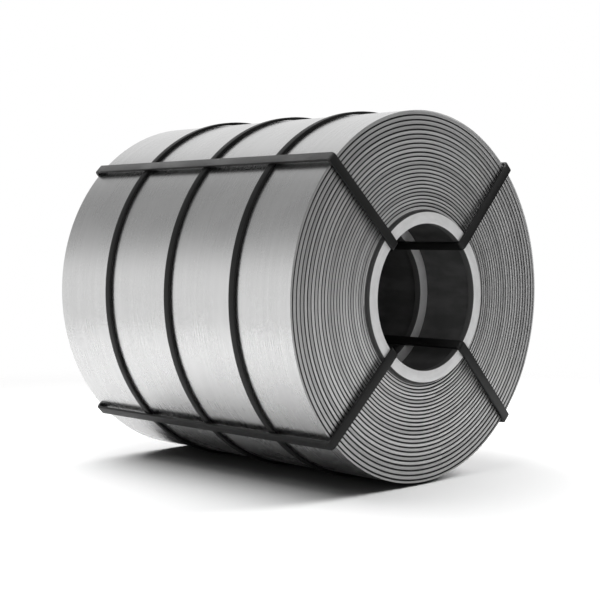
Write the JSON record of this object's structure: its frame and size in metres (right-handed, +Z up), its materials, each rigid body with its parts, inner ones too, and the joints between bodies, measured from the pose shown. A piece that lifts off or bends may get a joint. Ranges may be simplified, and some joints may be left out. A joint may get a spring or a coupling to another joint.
{
  "type": "steel coil",
  "caption": "Steel strip wound into a coil on a ringed core, lying on its side, with black straps round its body and through its eye.",
  "frame": {"origin": "on the ground under the middle of the coil, where its body straps touch it", "axes": "+X along the coil's axis, towards the end that the picture shows; +Z up"},
  "size_m": [1.3004, 1.3104, 1.3103],
  "materials": {
    "strip_steel": "bright cold-rolled strip, satin",
    "core_tube": "dark primer, matt",
    "core_ring": "pale satin steel",
    "strap": "black lacquer, satin"
  },
  "bodies": {
    "root": {"coil": "strip_steel", "core_tube": "core_tube", "core_ring_1": "core_ring", "core_ring_2": "core_ring", "core_ring_3": "core_ring", "core_ring_4": "core_ring", "core_ring_5": "core_ring", "core_ring_6": "core_ring", "body_strap_1": "strap", "body_strap_2": "strap", "body_strap_3": "strap", "eye_strap_1": "strap", "eye_strap_2": "strap", "eye_strap_3": "strap", "eye_strap_4": "strap"}
  },
  "joints": []
}
